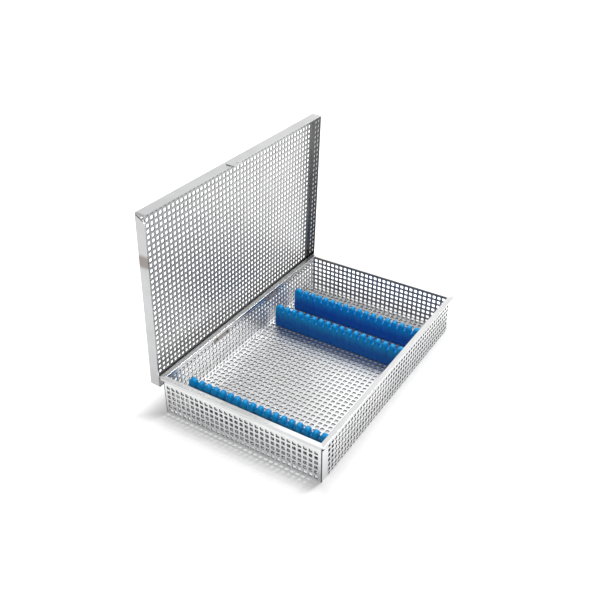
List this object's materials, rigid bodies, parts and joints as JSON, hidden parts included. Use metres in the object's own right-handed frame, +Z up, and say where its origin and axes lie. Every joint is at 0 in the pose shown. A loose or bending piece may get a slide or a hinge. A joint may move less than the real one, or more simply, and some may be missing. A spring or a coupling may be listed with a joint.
{
  "type": "autoclave basket",
  "caption": "Shallow rectangular tray of perforated steel with a flat-bar rim, a hinged perforated lid standing open, and silicone combs that hold instruments apart.",
  "frame": {"origin": "centre of the tray's flat underside, on the surface that it rests on", "axes": "+X along the tray to the right, +Y from the catch side to the hinge side, +Z up"},
  "size_m": [0.2988, 0.202, 0.23],
  "materials": {
    "perforated_steel": "bright electropolished",
    "polished_steel": "polished",
    "hinge_steel": "satin",
    "blue_silicone": "satin moulded"
  },
  "bodies": {
    "tray": {"floor_panel": "perforated_steel", "front_wall": "perforated_steel", "back_wall": "perforated_steel", "left_wall": "perforated_steel", "right_wall": "perforated_steel", "front_rim": "polished_steel", "back_rim": "polished_steel", "left_rim": "polished_steel", "right_rim": "polished_steel", "left_wall_leaf": "hinge_steel", "right_wall_leaf": "hinge_steel", "left_hinge_pin": "hinge_steel", "right_hinge_pin": "hinge_steel", "comb_left": "blue_silicone", "comb_middle": "blue_silicone", "comb_right": "blue_silicone"},
    "lid": {"lid_panel": "perforated_steel", "lid_front_flange": "polished_steel", "lid_back_flange": "polished_steel", "lid_left_flange": "polished_steel", "lid_right_flange": "polished_steel", "lid_catch": "polished_steel", "left_lid_leaf": "hinge_steel", "right_lid_leaf": "hinge_steel"}
  },
  "joints": [
    {"name": "lid_hinge", "type": "hinge", "parent": "tray", "child": "lid", "pos_m": [0, 0.0951, 0.0364], "axis": [1, 0, 0], "range_deg": [0, 87.5]}
  ]
}
